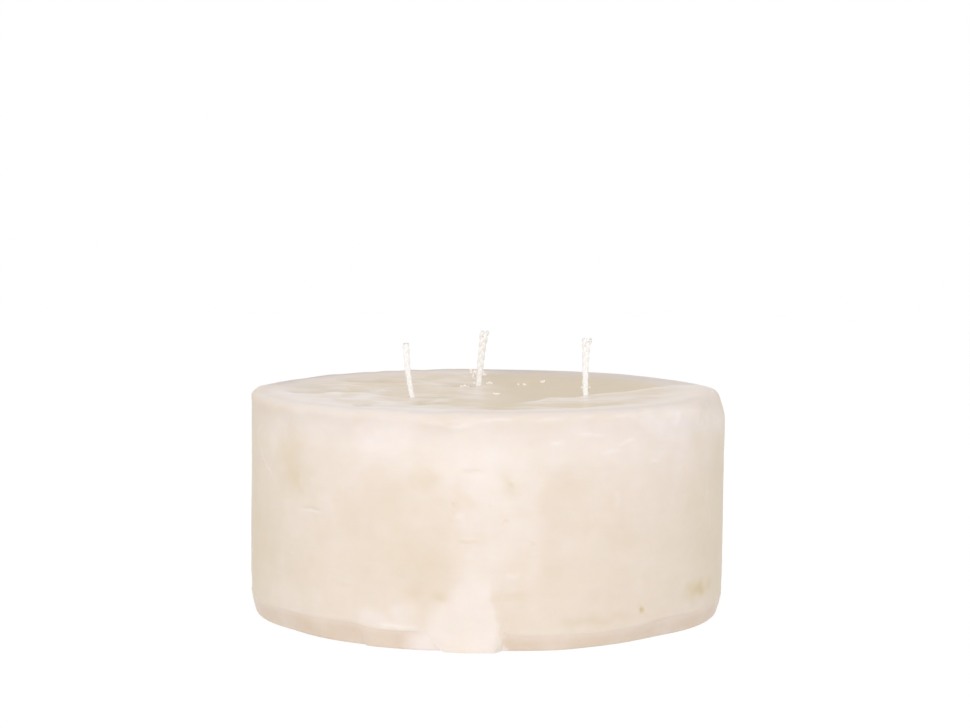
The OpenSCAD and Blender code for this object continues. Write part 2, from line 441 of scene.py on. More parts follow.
def mark(across, up, length, width, tilt):
    """Share from 0 to 1 of a long soft mark, at distances in millimetres from its middle."""
    c, s = math.cos(math.radians(tilt)), math.sin(math.radians(tilt))
    along, over = across * c + up * s, up * c - across * s
    over = over - 0.3 * width * np.sin(7 * along / length + length)
    return np.exp(-(2 * along / length) ** 4 - (over / width) ** 2)


def wall_marks(turns, heights, radius):
    """How far the wall's ridges stand out and its nicks go in."""
    relief = np.zeros(len(turns))
    for turn, height, length, width, depth, tilt in WALL_MARKS:
        across = np.radians(wrapped(turns - turn)) * radius / MM
        relief += depth * MM * mark(across, heights / MM - height, length, width, tilt)
    for turn, height, size, depth in WALL_PITS:
        across = np.radians(wrapped(turns - turn)) * radius / MM
        near = (across ** 2 + (heights / MM - height) ** 2) / size ** 2
        relief += depth * MM * (0.6 * np.exp(-(near - 2.2) ** 2) - np.exp(-near))
    return relief


def tuck(turns):
    """How far the foot is drawn in on the right side."""
    return 0.2 * MM * smooth(48, 75, turns) * smooth(125, 100, turns)


def wall_relief(turns, heights, radius):
    """How far the wall stands out from its round, with its lumps, pour lines, ledge and marks."""
    points = on_wall(turns, heights, radius)
    up = heights / MM
    relief = 0.30 * MM * rough_at(points, 45 * MM, 3.1, 2)
    relief += 0.10 * MM * rough_at(points, 11 * MM, 8.7, 2)
    left = smooth(-30, -75, turns) * smooth(-150, -110, turns)
    right = smooth(30, 75, turns) * smooth(150, 110, turns)
    relief -= MM * left * (0.1 + 0.2 * smooth(20, 55, up) + 0.35 * smooth(14, 8, up))
    relief += MM * right * (0.15 * smooth(12, 50, up) + 0.25 * smooth(48, 58, up))
    lines = noise_at(points, (18 * MM, 18 * MM, 2.2 * MM), 4.2)
    relief += 0.05 * MM * lines * smooth(-0.1, 0.5, noise_at(points, 24 * MM, 5.5))
    ledge = smooth(14, 19, turns) * smooth(40, 34, turns)
    relief -= 0.35 * MM * ledge * smooth(10.0, 6.8, up)
    relief -= tuck(turns) * smooth(14, 4, up)
    relief += 0.22 * MM * rough_at(points, 8 * MM, 7.7, 3) * smooth(58, 68, up)
    return relief + wall_marks(turns, heights, radius)


def past_ridge(points):
    """How far points lie behind the ridge in front of the pool, in millimetres."""
    x, y = points[:, 0] / MM, points[:, 1] / MM
    front = np.interp(
        x, (-10, 10, 15, 19, 27, 30, 34, 43, 48, 53, 60),
        (-38, -34, -28, -17, -16, -14, -7, -4, 3, 8, 20))
    return y - front + 3 * rough_at(points, 12 * MM, 2.2, 3)


def pool(points):
    """1 in the smooth, clear pool right of the middle of the top, and 0 outside it."""
    left = points[:, 0] / MM - 2 + 8 * rough_at(points, 20 * MM, 2.6, 3)
    return smooth(-1.5, 1.5, past_ridge(points)) * smooth(-8, 6, left)


def patch(points, x, y, half_x, half_y):
    """1 in the middle of a soft patch of the top, falling to 0 outside it, in millimetres."""
    return np.exp(-((points[:, 0] / MM - x) / half_x) ** 2 - ((points[:, 1] / MM - y) / half_y) ** 2)


def painted_highlight(points):
    """1 on the painted highlight in front of the middle wick, and 0 away from it."""
    return patch(points, 3.5, -9, 6, 18)


def hollow(points):
    """1 in the brown hollow left of the pool, and 0 away from it."""
    return patch(points, -12, -12, 12, 24)


def ridge(points):
    """1 on the light ridge in front of the pool, and 0 away from it."""
    x = points[:, 0] / MM
    width = 4.2 - 1.8 * smooth(28, 34, x)
    return np.exp(-(past_ridge(points) / width) ** 2) * smooth(7, 14, x) * smooth(62, 54, x)


def melted(points):
    """1 where the top has melted smooth, and 0 on the land inside the rim."""
    out = from_axis(points) / MM
    ragged = 3 * rough_at(points, 22 * MM, 2.8, 3) + 2.4 * rough_at(points, (5 * MM, 9 * MM, MM), 3.8, 2)
    soft = 1.2 + 7 * to_right(points, -10, -35) + 6 * to_right(points, 30, 48)
    return smooth(59.5 + soft, 59.5 - soft, out + ragged)


def top_marks(points):
    """How far the top's listed wrinkles stand up or sink."""
    relief = np.zeros(len(points))
    for x, y, length, width, depth, tilt in TOP_MARKS:
        relief += depth * MM * mark(points[:, 0] / MM - x, points[:, 1] / MM - y, length, width, tilt)
    return relief


def calm(points):
    """1 on the still strips in front of the middle and right wicks, and 0 away from them."""
    still = np.zeros(len(points))
    for side in SIDES[1:]:
        foot = wick_foot(side)
        beside = (points[:, 0] - foot.x) / (6 * MM)
        front = smooth(foot.y + 6 * MM, foot.y - 2 * MM, points[:, 1])
        still = np.maximum(still, np.exp(-beside ** 2) * front)
    return still


def top_wrinkles(points):
    """Ripples and dimples of the top, from about -1 to 1."""
    return 0.75 * noise_at(points, 13 * MM, 6.4) + 0.4 * noise_at(points, 6 * MM, 1.9)


def islands(points):
    """Half on light islands of set wax in the melted top, and minus half between them."""
    return smooth(-0.04, 0.14, rough_at(points, (11 * MM, 9 * MM, MM), 34.0, 4)) - 0.5


def top_relief(points, sizes):
    """Height of the top over the rim: its dish, wrinkles and pool, and the wax drawn up the wicks."""
    out = from_axis(points)
    share = np.clip(out / (sizes.radius - sizes.land), 0, 1)
    relief = -sizes.dish * (1 - share ** 2)
    still, melt = pool(points), melted(points)
    left = to_right(points, 15, -20)
    still_here = np.maximum(still, 0.9 * calm(points))
    relief += MM * (0.16 + 0.32 * left) * top_wrinkles(points) * (1 - 0.9 * still_here)
    relief += MM * 0.10 * rough_at(points, 4 * MM, 9.9, 2) * (1 - 0.9 * still_here)
    step = 0.30 - 0.22 * to_right(points, 25, 45)
    relief += top_marks(points) + MM * (0.35 * ridge(points) - step * melt - 0.15 * still)
    forward = 0.5 - 0.5 * points[:, 1] / np.maximum(out, MM)
    relief -= 0.6 * MM * forward * smooth(38 * MM, 62 * MM, out)
    relief -= 0.3 * MM * to_right(points, 42, 62) * to_back(points, -30, 10)
    relief -= 0.8 * MM * patch(points, -70, 24, 8, 14) * smooth(50 * MM, 66 * MM, out)
    for side in SIDES:
        foot = wick_foot(side)
        gap = np.hypot(points[:, 0] - foot.x, points[:, 1] - foot.y) / MM
        drawn = WICK_RISES[side] * np.exp(-np.maximum(gap - 0.9, 0))
        relief += MM * (drawn - 0.1 * np.exp(-((gap - 5) / 3) ** 2))
    return relief


def run_frost(turns, heights):
    """1 on the white wax run at the front of the foot, and 0 beside it."""
    points = on_wall(turns, heights, RUN_WALL)
    ragged = turns + 0.7 * noise_at(points, 3 * MM, 17.0)
    up = heights / MM
    left = np.interp(up, (0, 5, 10, 14, 15.5, 18, 24), (-13.5, -13.5, -12.5, -11.5, -8.5, -7.5, -7))
    right = np.interp(up, (0, 5, 14, 15.5, 18, 24), (3.6, 2.8, 1.8, 0.9, 0.6, 1.5))
    sides = smooth(left - 2.5, left + 2.5, ragged) * smooth(right + 0.6, right - 0.6, ragged)
    return sides * smooth(27, 11, up + 3 * noise_at(points, 5 * MM, 18.0))


def column(turns, heights):
    """1 on the pale column that rises from the wax run, and 0 beside it."""
    points = on_wall(turns, heights, RUN_WALL)
    ragged = turns + 1.2 * noise_at(points, 5 * MM, 19.0)
    up = heights / MM + 2 * noise_at(points, 6 * MM, 20.0)
    left = np.interp(up, (14, 38, 45, 55), (-7.7, -7.7, -9, -18))
    right = np.interp(up, (14, 38, 45, 55), (12, 12.5, 11, 16))
    sides = smooth(left - 4, left + 4, ragged) * smooth(right + 2.2, right - 2.2, ragged)
    return sides * smooth(8, 20, up) * smooth(60, 48, up)


def wall_frost_and_painted_light(turns, heights, radius):
    """How white the wall is, from 0 to 1, with painted highlights on its ridges and painted shade under the
    rim.
    """
    points = on_wall(turns, heights, radius)
    frost = 0.26 + 0.16 * smooth(10 * MM, 62 * MM, heights)
    spread = wrapped(turns + 5 * noise_at(points, 9 * MM, 12.0) + 4 * noise_at(points, 3.5 * MM, 13.0))
    lift = heights + 4 * MM * noise_at(points, 8 * MM, 14.0)
    frost += spots_on_wall(spread, lift, radius, FROST_PATCHES)
    frost += 0.12 * (smooth(-0.25, 0.30, rough_at(points, 17 * MM, 15.0)) - 0.5)
    frost += 0.08 * rough_at(points, 5 * MM, 16.0, 3)
    frost += 0.42 * run_frost(turns, heights) + 0.22 * column(turns, heights)
    # Painted highlight on the ridges
    frost += 1.1 * np.maximum(wall_marks(turns, heights, radius), 0) / MM
    # Painted shade at the top of the wall, under the rim
    frost -= 0.04 * smooth(63 * MM, 68.5 * MM, heights)
    return np.clip(frost, 0, FROST_RANGE)


def wall_warmth_and_painted_shade(turns, heights, radius):
    """How yellow the wall is, from 0 to 1, with painted shade in its nicks."""
    points = on_wall(turns, heights, radius)
    spread = wrapped(turns + 3 * noise_at(points, 5 * MM, 21.0))
    lift = heights + 2.2 * MM * noise_at(points, 4 * MM, 22.0)
    warmth = spots_on_wall(spread, lift, radius, WARM_SPOTS)
    warmth += 0.12 * np.maximum(rough_at(points, 24 * MM, 23.0, 3), 0)
    slump = smooth(40, 60, turns) * smooth(130, 100, turns) * smooth(55 * MM, 65 * MM, heights)
    warmth += 0.26 * smooth(46, 80, np.abs(wrapped(turns))) * (1 - 0.8 * slump)
    # Painted shade in the nicks
    warmth += 1.2 * np.maximum(-wall_marks(turns, heights, radius), 0) / MM
    return np.clip(warmth, 0, 1) * (1 - 0.9 * run_frost(turns, heights))


def top_frost_and_painted_light(points):
    """How white the top is, from 0 to 1, with painted light and painted shade laid in."""
    melt, right = melted(points), to_right(points, -8, 8)
    front = to_back(points, -20, -60)
    frost = 0.80 + 0.06 * front * right - melt * (0.12 + 0.34 * right * (0.5 + 0.5 * front))
    frost += 0.42 * melt * top_wrinkles(points) + 0.12 * rough_at(points, 5 * MM, 32.0, 3)
    # Painted light: the top is whiter towards the front and darker towards the back, and whiter still at its
    # front left
    frost -= 0.003 * points[:, 1] / MM
    frost += 0.22 * to_back(points, 0, -18) * to_right(points, -5, -25)
    # Painted highlight on the raised wrinkles
    frost += 1.2 * np.maximum(top_marks(points), 0) / MM
    frost += 0.36 * melt * islands(points) - 0.25 * hollow(points)
    # Painted highlight in front of the middle wick
    frost = frost * (1 - 0.85 * pool(points)) + 0.8 * ridge(points) + 0.15 * painted_highlight(points)
    out = from_axis(points)
    # The far rim is whitened under its painted shade, so that the shade reads grey
    frost += (0.5 + 0.4 * right) * far_rim(points)
    # Painted shade: the rim is made less white
    return np.clip(frost - 0.12 * rim_share(out), 0, FROST_RANGE)


def top_warmth_and_painted_shade(points):
    """How yellow and clear the top is, from 0 to 1, with painted shade in its sunken wrinkles."""
    still = pool(points)
    patchy = 0.10 - 0.24 * top_wrinkles(points) - 0.14 * islands(points)
    warmth = melted(points) * patchy * (1 - 0.7 * still) + 0.48 * still
    warmth += 0.22 * to_back(points, -5, 30) * to_right(points, -10, -30)
    shelf = melted(points) * (1 - still) * to_back(points, -30, -45)
    warmth += 0.30 * shelf * to_right(points, -30, -10) + 0.18 * hollow(points)
    # Less yellow under the painted highlight
    warmth -= 0.16 * painted_highlight(points)
    out = from_axis(points)
    # Painted shade in the sunken wrinkles
    warmth += 0.5 * np.maximum(-top_marks(points), 0) / MM
    back = to_back(points, 0, 20)
    edge = smooth(71 * MM - 6 * MM * back, 61 * MM - 11 * MM * back, out)
    return np.clip(warmth, 0, 1) * (1 - 0.8 * ridge(points)) * edge


def rim_share(out):
    """0 on the land and 1 at the rim, from distances to the axis."""
    return smooth(66.5 * MM, 71.5 * MM, out)


def far_rim(points):
    """1 at the far rim, and 0 away from it."""
    out = from_axis(points)
    start = 62 * MM - 5 * MM * to_right(points, -4, 8)
    return smooth(start, start + 9 * MM, out) * to_back(points, 0, 25)


def top_painted_shade(points):
    """How dark the painted shade on the top is, from 0 to 1: in its sunken wrinkles, along its far and near
    rims, over the pool, at its back left and towards the back.
    """
    out = from_axis(points)
    # Painted shade along the near rim
    near = rim_share(out) * to_back(points, 20, -20)
    left = to_right(points, -10, -30)
    # Strength of the painted shade along the far rim
    deep = 0.46 - 0.06 * to_right(points, -8, 8) - 0.16 * to_right(points, 10, 40)
    shade = deep * far_rim(points) + (0.18 - 0.03 * left) * near
    # Painted shade over the pool, left off under the painted highlight
    shade += 0.09 * pool(points) * (1 - painted_highlight(points))
    shade += 0.20 * patch(points, -60, 12, 10, 16)
    shade += 0.12 * smooth(46 * MM, 58 * MM, out) * to_back(points, 20, 45)
    return np.clip(shade + 0.45 * np.maximum(-top_marks(points), 0) / MM, 0, 1)


def wall_painted_shade(turns, heights):
    """How dark the painted shade on the wall is under the rim, from 0 to 1."""
    lip = smooth(62 * MM, 66 * MM, heights) * smooth(-24, -14, turns) * smooth(14, 8, turns)
    left = smooth(61 * MM, 67 * MM, heights) * smooth(-80, -60, turns) * smooth(-8, -24, turns)
    return 0.10 * smooth(57 * MM, 66 * MM, heights) + 0.03 * lip + 0.06 * left


def plane_of_slump(sizes):
    """The slumped rim's plane, as its outward normal and distance from the origin."""
    out = Vector((math.sin(sizes.slump_turn), -math.cos(sizes.slump_turn), 0))
    normal = (out * sizes.slump_height + Vector((0, 0, sizes.slump_width))).normalized()
    foot = out * sizes.radius + Vector((0, 0, sizes.height - sizes.slump_height))
    return normal, normal.dot(foot)


def slumped(points, sizes):
    """Points drawn in behind the slumped rim's plane, with softened edges."""
    normal, distance = plane_of_slump(sizes)
    softness = 0.4 * MM
    excess = points @ np.array(normal) - distance + 0.35 * MM * noise_at(points, 7 * MM, 41.0)
    excess = softness * np.logaddexp(0, excess / softness)
    return points - excess[:, None] * np.array(normal)


def square_rings(rings):
    """A square grid wound into round rings: each point's share of the radius and turn in degrees."""
    steps = np.arange(-rings, rings + 1)
    i, j = (g.ravel() for g in np.meshgrid(steps, steps))
    ring = np.maximum(np.abs(i), np.abs(j))
    place = np.where(i == ring, 2 * ring + j, np.where(j == ring, 4 * ring - i, 6 * ring - j))
    front = (j == -ring) & (np.abs(i) <= ring)
    place = np.where(front & (i >= 0), i, np.where(front, 8 * ring + i, place))
    return ring / rings, 45 * place / np.maximum(ring, 1)


def grid_faces(rings):
    """Faces of that grid, and its outer points in order of turn."""
    side = 2 * rings + 1
    corner = (np.arange(side - 1)[:, None] * side + np.arange(side - 1)).ravel()
    faces = np.stack([corner, corner + 1, corner + side + 1, corner + side], axis=1)
    step = np.arange(2 * rings)
    right = side * step + side - 1
    back = side * side - 1 - step
    left = side * (side - 1 - step)
    walk = np.concatenate([step, right, back, left])
    return faces, np.roll(walk, -rings)


def skirt_faces(rows):
    """Faces between rows of point numbers that follow each other downwards on an outside wall."""
    faces = []
    for upper, lower in zip(rows[:-1], rows[1:]):
        faces.append(np.stack([upper, lower, np.roll(lower, -1), np.roll(upper, -1)], axis=1))
    return np.concatenate(faces)


def new_object(name, mesh):
    """Links a mesh into the scene as an object at the origin."""
    made = bpy.data.objects.new(name, mesh)
    bpy.context.scene.collection.objects.link(made)
    return made


def new_mesh(name, points, edges=(), faces=(), attributes=None):
    """A smooth-shaded mesh object at the origin, with number attributes on its points."""
    mesh = bpy.data.meshes.new(name)
    mesh.from_pydata(np.asarray(points).tolist(), list(edges), [list(map(int, f)) for f in faces])
    mesh.validate()
    for key, values in (attributes or {}).items():
        layer = mesh.attributes.new(key, "FLOAT", "POINT")
        layer.data.foreach_set("value", np.asarray(values, np.float32))
    mesh.shade_smooth()
    return new_object(name, mesh)


def from_bmesh(name, shape):
    """An object at the origin, made from a bmesh that is then freed."""
    mesh = bpy.data.meshes.new(name)
    shape.to_mesh(mesh)
    shape.free()
    return new_object(name, mesh)


def settle(piece):
    """Replaces a piece's mesh by what its modifiers make of it, and removes them."""
    graph = bpy.context.evaluated_depsgraph_get()
    made = bpy.data.meshes.new_from_object(piece.evaluated_get(graph))
    piece.modifiers.clear()
    piece.data = made


def keep(piece, slot, *nodes):
    """Puts a finished piece on the candle's body and in place of frame nodes. Its slot is not used."""
    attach(piece, BODY)
    if nodes:
        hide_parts(*nodes)


def plug(tree, node, links):
    """Sets or links a node's inputs by name or number."""
    for key, value in links.items():
        if isinstance(value, bpy.types.NodeSocket):
            tree.links.new(value, node.inputs[key])
        else:
            node.inputs[key].default_value = value


def add(tree, kind, links=None, **options):
    """Adds a node, sets its options, and sets or links its inputs."""
    made = tree.nodes.new(kind)
    for key, value in options.items():
        setattr(made, key, value)
    plug(tree, made, links or {})
    return made


def sums(tree, operation, first, second):
    """One step of arithmetic."""
    return add(tree, "ShaderNodeMath", {0: first, 1: second}, operation=operation).outputs[0]


def vector_sums(tree, operation, first, second):
    """One step of arithmetic on vectors."""
    return add(tree, "ShaderNodeVectorMath", {0: first, 1: second}, operation=operation).outputs[0]


def scaled(tree, vector, factor):
    """A vector times a number."""
    return add(tree, "ShaderNodeVectorMath", {0: vector, "Scale": factor}, operation="SCALE").outputs[0]


def blended(tree, share, first, second):
    """Colour between two others by a share."""
    return add(tree, "ShaderNodeMix", {0: share, 6: first, 7: second}, data_type="RGBA").outputs[2]


def ranged(tree, value, low, high, to_low=0.0, to_high=1.0):
    """A value brought from one range to another."""
    links = {"Value": value, "From Min": low, "From Max": high, "To Min": to_low, "To Max": to_high}
    return add(tree, "ShaderNodeMapRange", links).outputs["Result"]


def noisy(tree, where, scale, detail, rough, stretch=None):
    """A noise pattern, stretched where a scale for each axis is given."""
    if stretch:
        where = add(tree, "ShaderNodeMapping", {"Vector": where, "Scale": stretch}).outputs["Vector"]
    links = {"Vector": where, "Scale": scale, "Detail": detail, "Roughness": rough}
    return add(tree, "ShaderNodeTexNoise", links).outputs["Fac"]


def bumped(tree, strength, distance, height, under=None):
    """Normal of a fine relief, laid over the normal of another one where that is given."""
    links = {"Strength": strength, "Distance": distance, "Height": height}
    if under is not None:
        links["Normal"] = under
    return add(tree, "ShaderNodeBump", links).outputs[0]


def attribute(tree, name):
    """A number that a mesh keeps on its points."""
    return add(tree, "ShaderNodeAttribute", attribute_name=name).outputs["Fac"]


def material(name):
    """A new node material: itself, its tree, its shader and its object coordinates."""
    made = bpy.data.materials.new(name)
    made.use_nodes = True
    tree = made.node_tree
    shader = tree.nodes["Principled BSDF"]
    where = add(tree, "ShaderNodeTexCoord").outputs["Object"]
    return made, tree, shader, where


def opaque(colour):
    """A colour with full alpha."""
    return (*colour, 1.0)


# What all wax has in common: light that scatters under a satin skin
WAX_SCATTER = {"Subsurface Weight": 0.55, "Subsurface Radius": (1.0, 0.8, 0.55), "IOR": 1.44}

# What the wax's material reads on the pillar's hidden underside, by attribute
UNDER_LOOKS = {"frost": 0.4, "warmth": 0.0, "gloss": 0.0, "dusk": 0.0, "thin": 1.0}


def pillar_wax():
    """Ivory wax with white frost, warm clear spots, pour lines and pits, and painted highlights and painted
    shade from its attributes.
    """
    look = bpy.context.scene.candle_wax
    made, tree, shader, where = material("pillar_wax")
    frost, warmth, gloss, dusk, thin = (attribute(tree, name) for name in UNDER_LOOKS)
    clouds = ranged(tree, noisy(tree, where, 160, 5, 0.6), 0.3, 0.7, -0.07, 0.07)
    streaks = ranged(tree, noisy(tree, where, 60, 4, 0.6, (1, 1, 5)), 0.3, 0.7, -0.05, 0.05)
    share = sums(tree, "ADD", sums(tree, "ADD", frost, clouds), streaks)
    share = ranged(tree, share, 0.0, FROST_RANGE)
    colour = blended(tree, share, opaque(look.clear), opaque(look.frost))
    colour = blended(tree, warmth, colour, opaque(look.warm))
    # Painted shade: darkened towards its colour in sunken wrinkles, along the rims and under the rim
    colour = blended(tree, dusk, colour, opaque(look.dusk))
    lines = noisy(tree, where, 220, 3, 0.5, (0.2, 0.2, 3))
    fine = noisy(tree, where, 900, 3, 0.6)
    pits = add(tree, "ShaderNodeTexVoronoi", {"Vector": where, "Scale": 420.0}).outputs["Distance"]
    depth = ranged(tree, gloss, 0.0, 1.0, 0.22, 0.04)
    bump = bumped(tree, depth, 0.25 * MM, lines)
    bump = bumped(tree, depth, 0.1 * MM, fine, bump)
    bump = bumped(tree, depth, 0.12 * MM, ranged(tree, pits, 0.0, 0.16), bump)
    plug(tree, shader, {
        **WAX_SCATTER,
        "Base Color": colour,
        "Roughness": ranged(tree, gloss, 0.0, 1.0, 0.48, 0.29),
        "Normal": bump,
        "Subsurface Scale": ranged(tree, thin, 0.0, 1.0, 5 * MM, 0.3 * MM),
    })
    return made


def base_wax():
    """The second pour: darker, smoother ivory wax with faint clouds."""
    look = bpy.context.scene.candle_wax
    made, tree, shader, where = material("base_wax")
    clouds = ranged(tree, noisy(tree, where, 70, 5, 0.6), 0.3, 0.7)
    pale = Vector(look.base).lerp(Vector(look.frost), 0.3)
    colour = blended(tree, clouds, opaque(look.base), opaque(pale))
    plug(tree, shader, {
        **WAX_SCATTER,
        "Base Color": blended(tree, attribute(tree, "frost"), colour, opaque(look.frost)),
        "Roughness": ranged(tree, clouds, 0.0, 1.0, 0.42, 0.55),
        "Normal": bumped(tree, 0.2, 0.15 * MM, noisy(tree, where, 700, 4, 0.6)),
        "Subsurface Scale": 0.5 * MM,
    })
    return made


def crumb_wax():
    """White, dull crumbs of wax."""
    look = bpy.context.scene.candle_wax
    made, tree, shader, where = material("crumb_wax")
    flecks = ranged(tree, noisy(tree, where, 900, 3, 0.6), 0.35, 0.65)
    plug(tree, shader, {
        "Base Color": blended(tree, flecks, opaque(look.frost), (0.96, 0.92, 0.87, 1)),
        "Roughness": 0.5,
        "Normal": bumped(tree, 0.3, 0.1 * MM, flecks),
    })
    return made


def wick_cotton():
    """White cotton yarn with fine fibre streaks and a soft sheen."""
    look = bpy.context.scene.candle_wicks
    made, tree, shader, where = material("wick_cotton")
    streaks = ranged(tree, noisy(tree, where, 1500, 3, 0.6, (1, 1, 0.25)), 0.3, 0.7)
    plug(tree, shader, {
        "Base Color": blended(tree, streaks, opaque(Vector(look.colour) * 0.97), opaque(look.colour)),
        "Roughness": 0.75,
        "Normal": bumped(tree, 0.2, 0.05 * MM, streaks),
        "Sheen Weight": 0.25,
    })
    return made


def tinplate(side):
    """Bright pressed tinplate with fine rings about the wick and a dull film of wax."""
    made, tree, shader, where = material("tinplate_" + side)
    foot = wick_foot(side)
    links = {"Vector": where, "Location": (-foot.x, -foot.y, 0)}
    centred = add(tree, "ShaderNodeMapping", links).outputs[0]
    links = {"Vector": centred, "Scale": 900.0, "Distortion": 1.5, "Detail": 2.0}
    rings = add(tree, "ShaderNodeTexWave", links, wave_type="RINGS", rings_direction="Z").outputs["Fac"]
    film = ranged(tree, noisy(tree, centred, 260, 5, 0.6), 0.42, 0.62)
    plug(tree, shader, {
        "Base Color": blended(tree, film, (0.62, 0.62, 0.61, 1), (0.50, 0.48, 0.44, 1)),
        "Roughness": ranged(tree, film, 0.0, 1.0, 0.22, 0.48),
        "Normal": bumped(tree, 0.15, 0.03 * MM, rings),
        "Metallic": 1.0,
    })
    return made


def run_share(turns, sizes, left_rise, right_rise):
    """0 beside the wax run at the front and 1 on it, reached at set distances inside its edges."""
    points = on_wall(turns, np.zeros(len(turns)), sizes.radius)
    along = np.radians(wrapped(turns - math.degrees(sizes.run_turn))) * sizes.radius
    along = along + 0.7 * MM * noise_at(points, 4 * MM, 53.0)
    half = sizes.run_width / 2
    left = smooth(-half - sizes.run_lean, -half + left_rise, along)
    return left * smooth(half + 0.8 * MM, half - right_rise, along)


def seam_height(turns, sizes):
    """Height of the wavy seam between the wall and the base layer."""
    points = on_wall(turns, np.zeros(len(turns)), sizes.radius)
    wavy = 0.35 * MM * noise_at(points, 13 * MM, 51.0) + 0.15 * MM * noise_at(points, 4 * MM, 52.0)
    low_right = 1.0 * MM * smooth(2, 8, turns) * smooth(46, 36, turns)
    high_left = 0.9 * MM * smooth(-22, -34, turns)
    return sizes.seam + wavy - low_right + high_left


def base_radius(turns, heights, sizes):
    """Radius of the base layer at a height, with its taper, bulges and a thin run at its left front."""
    down = np.clip(1 - heights / sizes.base_height, 0, 1)
    bulge = 1.4 * MM * smooth(-29.2, -28, turns) * smooth(-8, -14, turns)
    for turn, half, height in FOOT_BULGES:
        bulge += height * MM * np.exp(-(wrapped(turns - turn) / half) ** 2)
    return sizes.base_radius - sizes.base_taper * down ** 1.6 + (bulge - tuck(turns)) * down


def shoulder(turns):
    """How far the rounded rim is filled out on the left side."""
    return 0.35 * MM * smooth(-58, -80, turns) * smooth(-125, -105, turns)


def wall_rows(turns, sizes):
    """Rows of the wall from the rim down, as radius, height and share of wall, and its lowest heights."""
    rows = []
    rim_steps, bend_steps, bend_height = 9, 8, 2.4 * MM
    for k in range(1, rim_steps + 1):
        a = math.pi / 2 * (1 - k / rim_steps)
        out = sizes.radius - sizes.rim + sizes.rim * math.cos(a)
        up = sizes.height - sizes.rim + sizes.rim * math.sin(a)
        fill = shoulder(turns) * math.sin(2 * a)
        rows.append((out + fill, up + fill, math.cos(a) ** 2))
    seam = seam_height(turns, sizes)
    foot = seam + run_share(turns, sizes, 0.0, 0.4 * MM) * (sizes.run_lift - seam)
    high, bend = sizes.height - sizes.rim, foot + bend_height
    for start, end, steps in ((high, bend, sizes.rows), (bend, foot, bend_steps)):
        for k in range(1, steps + 1):
            rows.append((np.full(len(turns), sizes.radius), start + (end - start) * k / steps, 1.0))
    return rows, foot


def drawn_to_base(turns, radius, height, sizes):
    """Radius of the wall where it curves in to the base layer, or goes down over it in the wax run."""
    seam = seam_height(turns, sizes)
    base = base_radius(turns, height, sizes) + 0.04 * MM
    swell = sizes.run_swell * smooth(6 * MM, 0.5 * MM, height)
    over = base + (radius + swell - base) * run_share(turns, sizes, 3 * MM, 3 * MM)
    share = np.clip((seam + sizes.edge - height) / sizes.edge, 0, 1) ** 2
    return radius + (over - radius) * share


def dome_rows(steps, sizes):
    """Rows up the dome in the shrink hollow from its edge, each as radius and height."""
    edge = sizes.base_radius - sizes.seat
    crown = base_high.z - sizes.base_height
    for k in range(steps):
        q = 1 - k / steps
        yield edge * q, sizes.base_height + crown * (1 - q * q)


def underside_rows(turns, foot, sizes):
    """Rows that close the pillar over the base layer: up its taper, across the seat and up the dome."""
    count, dome_steps = len(turns), 6
    inner = base_radius(turns, foot, sizes) - sizes.seat / 2
    rows = [(inner, foot), (inner, np.maximum(sizes.base_height, foot))]
    for radius, height in dome_rows(dome_steps, sizes):
        rows.append((np.full(count, radius), np.full(count, height)))
    return rows


def top_looks(points):
    """What the wax's material reads on the top, by attribute."""
    dusk = top_painted_shade(points)
    return {
        # Wax colour, with painted highlights and painted shade laid in
        "frost": top_frost_and_painted_light(points),
        "warmth": top_warmth_and_painted_shade(points),
        "gloss": np.maximum(0.15 + 0.6 * melted(points) + 0.25 * pool(points), calm(points)),
        # Painted shade
        "dusk": dusk,
        "thin": np.clip(2 * dusk, 0, 0.9),
    }


def wall_looks(turns, heights, share, rim, sizes):
    """What the wax's material reads on a row of the wall, mixed with the rim by the share of wall."""
    low = smooth(7 * MM, 2 * MM, heights - seam_height(turns, sizes))
    return {
        "frost": rim["frost"] * (1 - share) + wall_frost_and_painted_light(turns, heights, sizes.radius) * share,
        "warmth": rim["warmth"] * (1 - share) + wall_warmth_and_painted_shade(turns, heights, sizes.radius) * share,
        "gloss": rim["gloss"] * (1 - share),
        # Painted shade of the rim and under the rim
        "dusk": rim["dusk"] * (1 - share ** 2) + wall_painted_shade(turns, heights) * share ** 2,
        "thin": np.maximum(rim["thin"] * (1 - share), low),
    }


